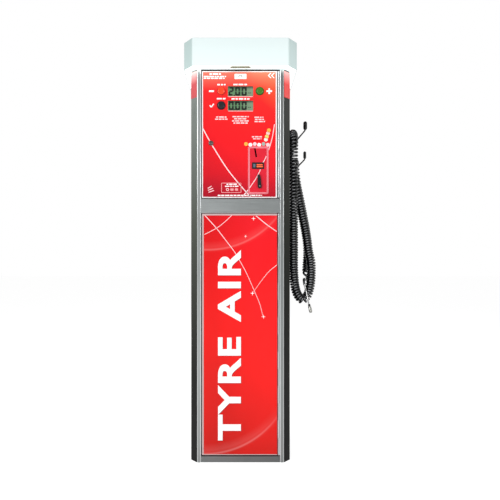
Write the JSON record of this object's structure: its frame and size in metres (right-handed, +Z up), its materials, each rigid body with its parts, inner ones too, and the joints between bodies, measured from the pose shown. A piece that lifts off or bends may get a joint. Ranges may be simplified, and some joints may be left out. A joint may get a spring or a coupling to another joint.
{
  "type": "tyre inflator column",
  "caption": "Floor standing tyre inflator column with two hinged doors, displays, push buttons, coin unit, lit canopy and a hanging spiral air hose.",
  "frame": {"origin": "centre of the four floor anchor holes, on the floor", "axes": "+Z up, the doors face -Y, +X to the right of a user facing the doors (hose side)"},
  "size_m": [0.5489, 0.455, 1.685],
  "materials": {
    "stainless": "brushed",
    "casing": "semi-gloss graphite paint",
    "zinc_sheet": "zinc plated",
    "red_film": "satin film",
    "canopy": "translucent, lit from inside",
    "lens": "smoky lens",
    "led": "light strip",
    "hinge": "satin",
    "screw": "plated",
    "black_plastic": "fine grained",
    "hook_tip": "dipped vinyl",
    "hook_paint": "black powder coat",
    "alloy": "machined",
    "pipe": "nylon",
    "tank_paint": "gloss paint",
    "motor_paint": "satin paint",
    "fitting": "plated",
    "chuck": "plated, worn",
    "hose": "smooth black polyurethane",
    "door_white": "satin white",
    "decor": "printed panel",
    "display": "liquid crystal display",
    "board": "circuit board",
    "red_cap": "translucent cap",
    "green_cap": "cap",
    "black_cap": "cap",
    "coin_cap": "cap",
    "lock": "plated"
  },
  "bodies": {
    "cabinet": {"base_plate": "zinc_sheet", "left_cladding": "casing", "right_cladding": "casing", "back_panel": "casing", "left_stile": "stainless", "right_stile": "stainless", "top_rail": "stainless", "mid_rail": "stainless", "bottom_rail": "stainless", "shelf": "zinc_sheet", "roof_plate": "zinc_sheet", "left_band": "red_film", "right_band": "red_film", "canopy_shell": "canopy", "canopy_underside": "canopy", "canopy_lens": "lens", "led_strips": "led", "upper_hinge_frame": "hinge", "lower_hinge_frame": "hinge", "panel_screws": "screw", "fan_housing": "black_plastic", "power_supply": "zinc_sheet", "valve_block": "alloy", "regulator": "alloy", "air_pipes": "pipe", "air_tank": "tank_paint", "compressor_motor": "motor_paint", "compressor_pump": "alloy", "cash_tin": "zinc_sheet", "cable_gland": "black_plastic", "hose_outlet": "fitting", "upper_hook": "hook_paint", "lower_hook": "hook_paint", "hook_tips": "hook_tip", "hose_coil": "hose", "hose_tail": "hose", "lance": "fitting", "chuck": "chuck"},
    "upper_door": {"upper_door_pan": "door_white", "upper_decor": "decor", "upper_hinge_door": "hinge", "display_upper": "display", "display_lower": "display", "control_board": "board", "button_bezels": "alloy", "coin_plate": "decor", "coin_frame": "black_plastic", "coin_validator": "black_plastic", "lock_barrel": "lock"},
    "lower_door": {"lower_door_pan": "door_white", "lower_decor": "decor", "lower_hinge_door": "hinge"},
    "red_button": {"red_button": "red_cap"},
    "green_button": {"green_button": "green_cap"},
    "black_button": {"black_button": "black_cap"},
    "coin_button": {"coin_button": "coin_cap"},
    "reject_lever": {"reject_lever": "black_plastic"},
    "lock_plug": {"lock_plug": "lock"},
    "fan_rotor": {"fan_rotor": "black_plastic"},
    "regulator_knob": {"regulator_knob": "black_plastic"}
  },
  "joints": [
    {"name": "upper_door_hinge", "type": "hinge", "parent": "cabinet", "child": "upper_door", "pos_m": [0.153, -0.198, 1.3125], "axis": [0, 0, 1], "range_deg": [0, 110]},
    {"name": "lower_door_hinge", "type": "hinge", "parent": "cabinet", "child": "lower_door", "pos_m": [0.153, -0.198, 0.5125], "axis": [0, 0, 1], "range_deg": [0, 110]},
    {"name": "red_button_press", "type": "slide", "parent": "upper_door", "child": "red_button", "axis": [0, 1, 0], "range_m": [0, 0.003], "stiffness_N_per_m": 400, "springref_m": -0.003},
    {"name": "green_button_press", "type": "slide", "parent": "upper_door", "child": "green_button", "axis": [0, 1, 0], "range_m": [0, 0.003], "stiffness_N_per_m": 400, "springref_m": -0.003},
    {"name": "black_button_press", "type": "slide", "parent": "upper_door", "child": "black_button", "axis": [0, 1, 0], "range_m": [0, 0.003], "stiffness_N_per_m": 400, "springref_m": -0.003},
    {"name": "coin_return_press", "type": "slide", "parent": "upper_door", "child": "coin_button", "axis": [0, 1, 0], "range_m": [0, 0.002], "stiffness_N_per_m": 400, "springref_m": -0.003},
    {"name": "reject_lever_turn", "type": "hinge", "parent": "upper_door", "child": "reject_lever", "pos_m": [0.0736, -0.2, 1.146], "axis": [0, 1, 0], "range_deg": [0, 25], "stiffness_Nm_per_rad": 0.08, "springref_deg": -17.19},
    {"name": "lock_turn", "type": "hinge", "parent": "upper_door", "child": "lock_plug", "pos_m": [-0.118, -0.2, 1.277], "axis": [0, 1, 0], "range_deg": [0, 90]},
    {"name": "fan_spin", "type": "hinge", "parent": "cabinet", "child": "fan_rotor", "pos_m": [0, 0.18, 1.44], "axis": [0, 1, 0], "continuous": true},
    {"name": "regulator_turn", "type": "hinge", "parent": "cabinet", "child": "regulator_knob", "pos_m": [0.13, 0.15, 1.27], "axis": [0, 0, 1], "range_deg": [-150, 150]}
  ]
}
